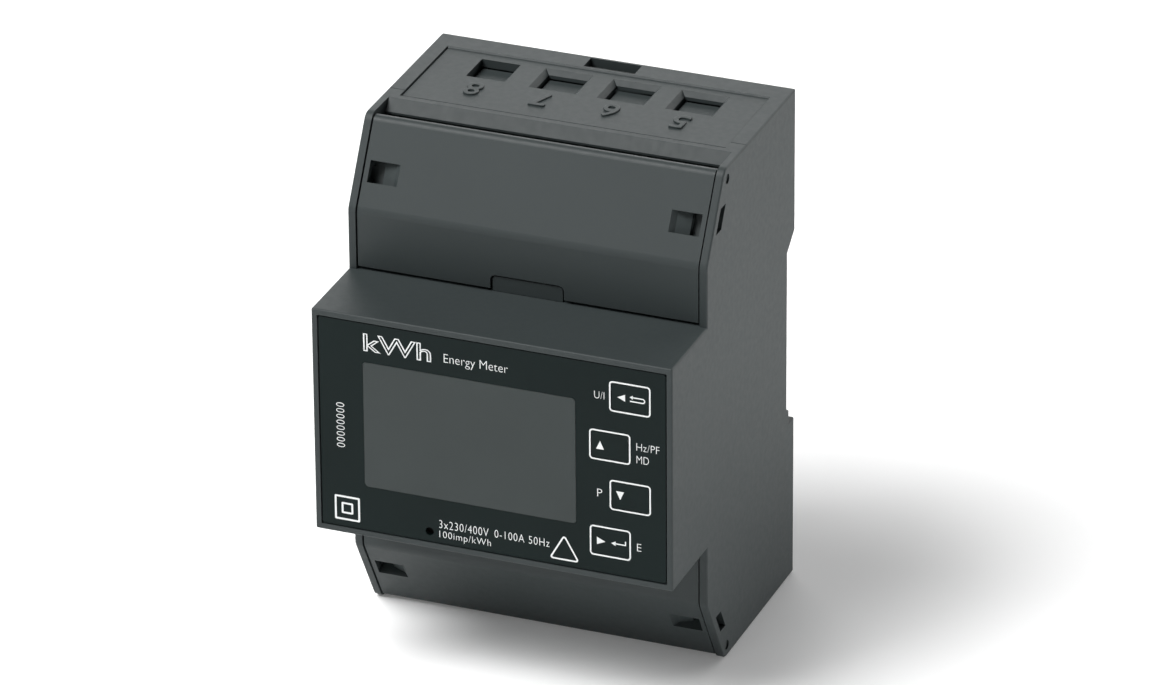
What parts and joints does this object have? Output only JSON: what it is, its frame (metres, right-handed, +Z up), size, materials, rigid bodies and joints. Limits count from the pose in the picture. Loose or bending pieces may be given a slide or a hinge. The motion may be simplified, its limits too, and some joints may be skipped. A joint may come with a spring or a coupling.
{
  "type": "electricity meter",
  "caption": "Rail-mounted three-phase energy meter with display nose, press keys, hinged sealable terminal covers, rising-cage terminals and a sprung rail clip.",
  "frame": {"origin": "centre of the bounding box's bottom face", "axes": "+X to the meter's right as read from the front, +Y from the display to the rail, +Z up from terminals 1-4 to terminals 5-8"},
  "size_m": [0.07, 0.0636, 0.1],
  "materials": {
    "housing_plastic": "fine moulded texture, satin grey",
    "base_plastic": "fine moulded texture, satin grey",
    "block_plastic": "fine moulded texture, satin grey",
    "cover_plastic": "fine moulded texture, satin grey",
    "plate_film": "printed front film, satin dark grey",
    "window_acrylic": "clear acrylic",
    "display_glass": "liquid crystal cell with polariser",
    "diffuser": "milky diffuser",
    "frame_plastic": "black moulded plastic",
    "elastomer": "silicone rubber",
    "key_plastic": "satin dark grey",
    "led_epoxy": "tinted epoxy",
    "pipe_acrylic": "dark tinted acrylic",
    "circuit_board": "glass fibre board with solder mask",
    "spacer_brass": "turned brass",
    "zinc_steel": "zinc-plated steel",
    "header_plastic": "black moulded plastic",
    "chip_resin": "black moulding compound",
    "core_iron": "laminated core with taped coil",
    "can_aluminium": "sleeved aluminium can",
    "disc_coating": "blue epoxy coating",
    "cell_steel": "nickel-plated steel",
    "spring_steel": "music wire",
    "clip_plastic": "black glass-filled nylon",
    "comms_plastic": "green moulded plastic",
    "tinned_wire": "tinned copper wire",
    "bar_copper": "bare copper",
    "ring_tape": "taped winding on a ring core",
    "cage_steel": "zinc-plated steel"
  },
  "bodies": {
    "meter": {"backup_battery": "cell_steel", "board_header": "header_plastic", "board_screws": "zinc_steel", "board_spacers": "spacer_brass", "capacitors": "can_aluminium", "clip_spring": "spring_steel", "comms_screws": "zinc_steel", "comms_terminal_block": "comms_plastic", "current_leads": "tinned_wire", "current_transformer_1": "ring_tape", "current_transformer_2": "ring_tape", "current_transformer_3": "ring_tape", "display_board": "circuit_board", "face_plate": "plate_film", "housing_screws": "zinc_steel", "keypad_mat": "elastomer", "lcd_backlight": "diffuser", "lcd_frame": "frame_plastic", "lcd_panel": "display_glass", "lcd_window": "window_acrylic", "led_light_pipe": "pipe_acrylic", "lower_terminal_block": "block_plastic", "main_board": "circuit_board", "main_housing": "housing_plastic", "metering_chip": "chip_resin", "microcontroller": "chip_resin", "neutral_bar": "bar_copper", "phase_bar_1": "bar_copper", "phase_bar_2": "bar_copper", "phase_bar_3": "bar_copper", "pulse_led": "led_epoxy", "rear_base": "base_plastic", "transformer": "core_iron", "upper_terminal_block": "block_plastic", "varistors": "disc_coating", "voltage_leads": "tinned_wire", "zebra_connector": "elastomer"},
    "upper_cover": {"upper_terminal_cover": "cover_plastic"},
    "lower_cover": {"lower_terminal_cover": "cover_plastic"},
    "key_back": {"key_back": "key_plastic"},
    "key_up": {"key_up": "key_plastic"},
    "key_down": {"key_down": "key_plastic"},
    "key_enter": {"key_enter": "key_plastic"},
    "rail_clip": {"din_clip": "clip_plastic"},
    "screw_1": {"terminal_screw_1": "zinc_steel"},
    "cage_1": {"terminal_cage_1": "cage_steel"},
    "screw_2": {"terminal_screw_2": "zinc_steel"},
    "cage_2": {"terminal_cage_2": "cage_steel"},
    "screw_3": {"terminal_screw_3": "zinc_steel"},
    "cage_3": {"terminal_cage_3": "cage_steel"},
    "screw_4": {"terminal_screw_4": "zinc_steel"},
    "cage_4": {"terminal_cage_4": "cage_steel"},
    "screw_5": {"terminal_screw_5": "zinc_steel"},
    "cage_5": {"terminal_cage_5": "cage_steel"},
    "screw_6": {"terminal_screw_6": "zinc_steel"},
    "cage_6": {"terminal_cage_6": "cage_steel"},
    "screw_7": {"terminal_screw_7": "zinc_steel"},
    "cage_7": {"terminal_cage_7": "cage_steel"},
    "screw_8": {"terminal_screw_8": "zinc_steel"},
    "cage_8": {"terminal_cage_8": "cage_steel"}
  },
  "joints": [
    {"name": "upper_cover_hinge", "type": "hinge", "parent": "meter", "child": "upper_cover", "pos_m": [0, -0.00381, 0.0977], "axis": [-1, 0, 0], "range_deg": [0, 135]},
    {"name": "lower_cover_hinge", "type": "hinge", "parent": "meter", "child": "lower_cover", "pos_m": [0, -0.00381, 0.0023], "axis": [1, 0, 0], "range_deg": [0, 135]},
    {"name": "key_back_press", "type": "slide", "parent": "meter", "child": "key_back", "axis": [0, 1, 0], "range_m": [0, 0.0005], "stiffness_N_per_m": 600, "springref_m": -0.0005},
    {"name": "key_up_press", "type": "slide", "parent": "meter", "child": "key_up", "axis": [0, 1, 0], "range_m": [0, 0.0005], "stiffness_N_per_m": 600, "springref_m": -0.0005},
    {"name": "key_down_press", "type": "slide", "parent": "meter", "child": "key_down", "axis": [0, 1, 0], "range_m": [0, 0.0005], "stiffness_N_per_m": 600, "springref_m": -0.0005},
    {"name": "key_enter_press", "type": "slide", "parent": "meter", "child": "key_enter", "axis": [0, 1, 0], "range_m": [0, 0.0005], "stiffness_N_per_m": 600, "springref_m": -0.0005},
    {"name": "rail_clip_slide", "type": "slide", "parent": "meter", "child": "rail_clip", "axis": [0, 0, -1], "range_m": [0, 0.004], "stiffness_N_per_m": 1200, "springref_m": -0.002, "deforming": ["clip_spring"]},
    {"name": "terminal_1_screw_turn", "type": "hinge", "parent": "meter", "child": "screw_1", "pos_m": [0.0201, -0.00175, 0.0091], "axis": [0, -1, 0], "range_deg": [0, 2345]},
    {"name": "terminal_1_cage_lift", "type": "slide", "parent": "meter", "child": "cage_1", "axis": [0, 1, 0], "range_m": [0, 0.0052]},
    {"name": "terminal_2_screw_turn", "type": "hinge", "parent": "meter", "child": "screw_2", "pos_m": [0.0067, -0.00175, 0.0091], "axis": [0, -1, 0], "range_deg": [0, 2345]},
    {"name": "terminal_2_cage_lift", "type": "slide", "parent": "meter", "child": "cage_2", "axis": [0, 1, 0], "range_m": [0, 0.0052]},
    {"name": "terminal_3_screw_turn", "type": "hinge", "parent": "meter", "child": "screw_3", "pos_m": [-0.0067, -0.00175, 0.0091], "axis": [0, -1, 0], "range_deg": [0, 2345]},
    {"name": "terminal_3_cage_lift", "type": "slide", "parent": "meter", "child": "cage_3", "axis": [0, 1, 0], "range_m": [0, 0.0052]},
    {"name": "terminal_4_screw_turn", "type": "hinge", "parent": "meter", "child": "screw_4", "pos_m": [-0.0201, -0.00175, 0.0091], "axis": [0, -1, 0], "range_deg": [0, 2345]},
    {"name": "terminal_4_cage_lift", "type": "slide", "parent": "meter", "child": "cage_4", "axis": [0, 1, 0], "range_m": [0, 0.0052]},
    {"name": "terminal_5_screw_turn", "type": "hinge", "parent": "meter", "child": "screw_5", "pos_m": [0.0201, -0.00175, 0.0909], "axis": [0, -1, 0], "range_deg": [0, 2345]},
    {"name": "terminal_5_cage_lift", "type": "slide", "parent": "meter", "child": "cage_5", "axis": [0, 1, 0], "range_m": [0, 0.0052]},
    {"name": "terminal_6_screw_turn", "type": "hinge", "parent": "meter", "child": "screw_6", "pos_m": [0.0067, -0.00175, 0.0909], "axis": [0, -1, 0], "range_deg": [0, 2345]},
    {"name": "terminal_6_cage_lift", "type": "slide", "parent": "meter", "child": "cage_6", "axis": [0, 1, 0], "range_m": [0, 0.0052]},
    {"name": "terminal_7_screw_turn", "type": "hinge", "parent": "meter", "child": "screw_7", "pos_m": [-0.0067, -0.00175, 0.0909], "axis": [0, -1, 0], "range_deg": [0, 2345]},
    {"name": "terminal_7_cage_lift", "type": "slide", "parent": "meter", "child": "cage_7", "axis": [0, 1, 0], "range_m": [0, 0.0052]},
    {"name": "terminal_8_screw_turn", "type": "hinge", "parent": "meter", "child": "screw_8", "pos_m": [-0.0201, -0.00175, 0.0909], "axis": [0, -1, 0], "range_deg": [0, 2345]},
    {"name": "terminal_8_cage_lift", "type": "slide", "parent": "meter", "child": "cage_8", "axis": [0, 1, 0], "range_m": [0, 0.0052]}
  ],
  "couplings": [
    {"joint": "terminal_1_screw_turn", "follows": "terminal_1_cage_lift", "rad_per_m": 7854},
    {"joint": "terminal_2_screw_turn", "follows": "terminal_2_cage_lift", "rad_per_m": 7854},
    {"joint": "terminal_3_screw_turn", "follows": "terminal_3_cage_lift", "rad_per_m": 7854},
    {"joint": "terminal_4_screw_turn", "follows": "terminal_4_cage_lift", "rad_per_m": 7854},
    {"joint": "terminal_5_screw_turn", "follows": "terminal_5_cage_lift", "rad_per_m": 7854},
    {"joint": "terminal_6_screw_turn", "follows": "terminal_6_cage_lift", "rad_per_m": 7854},
    {"joint": "terminal_7_screw_turn", "follows": "terminal_7_cage_lift", "rad_per_m": 7854},
    {"joint": "terminal_8_screw_turn", "follows": "terminal_8_cage_lift", "rad_per_m": 7854}
  ]
}
